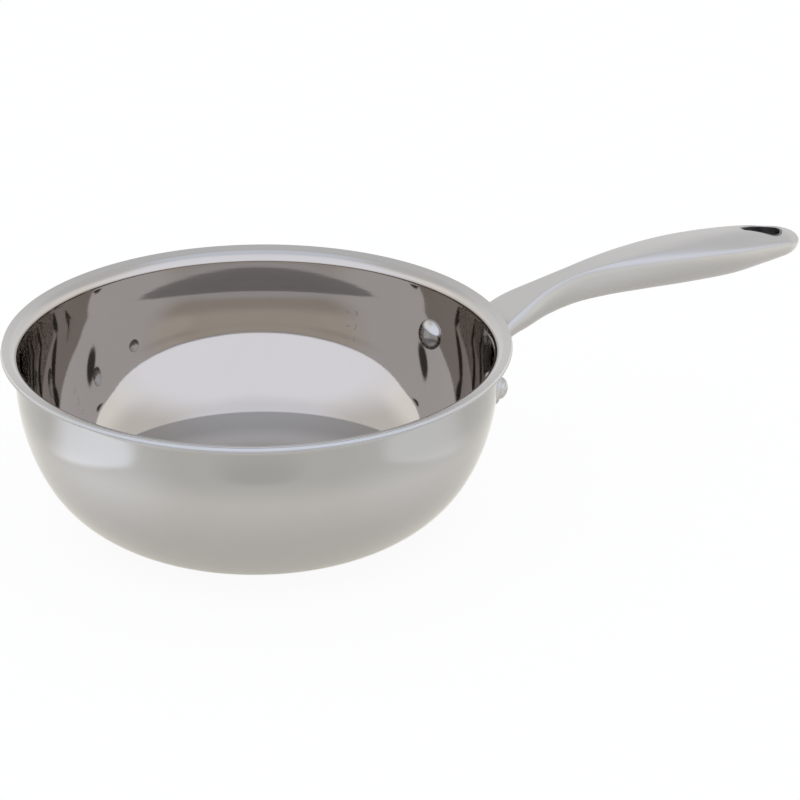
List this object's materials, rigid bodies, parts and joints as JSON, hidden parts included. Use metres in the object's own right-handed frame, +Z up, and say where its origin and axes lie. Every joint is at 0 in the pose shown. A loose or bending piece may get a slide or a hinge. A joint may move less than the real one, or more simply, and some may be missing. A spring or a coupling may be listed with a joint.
{
  "type": "saucepan",
  "caption": "Rounded-side saucepan with a flared pouring lip, three-layer clad wall, and a hollow curved handle riveted on, with a hanging hole at its tip.",
  "frame": {"origin": "centre of the flat base, on the bowl's axis, on the surface the saucepan stands on", "axes": "+Z up along the bowl's axis, +X along the handle from the bowl to its tip, +Y to the handle's left"},
  "size_m": [0.4086, 0.24, 0.106],
  "materials": {
    "polished_inner_steel": "mirror polished, faintly warm",
    "core_aluminium": "rolled, seen only as a thin line on the rim's edge",
    "polished_outer_steel": "bright polished",
    "satin_handle_steel": "satin, fine blasted",
    "dark_liner_steel": "dark, unpolished inside wall of the hanging hole",
    "rivet_steel": "polished"
  },
  "bodies": {
    "root": {"inner_layer": "polished_inner_steel", "aluminium_core": "core_aluminium", "outer_layer": "polished_outer_steel", "handle_bracket": "satin_handle_steel", "handle_upper_shell": "satin_handle_steel", "handle_lower_shell": "satin_handle_steel", "hanging_hole_liner": "dark_liner_steel", "rivet_left": "rivet_steel", "rivet_right": "rivet_steel"}
  },
  "joints": []
}
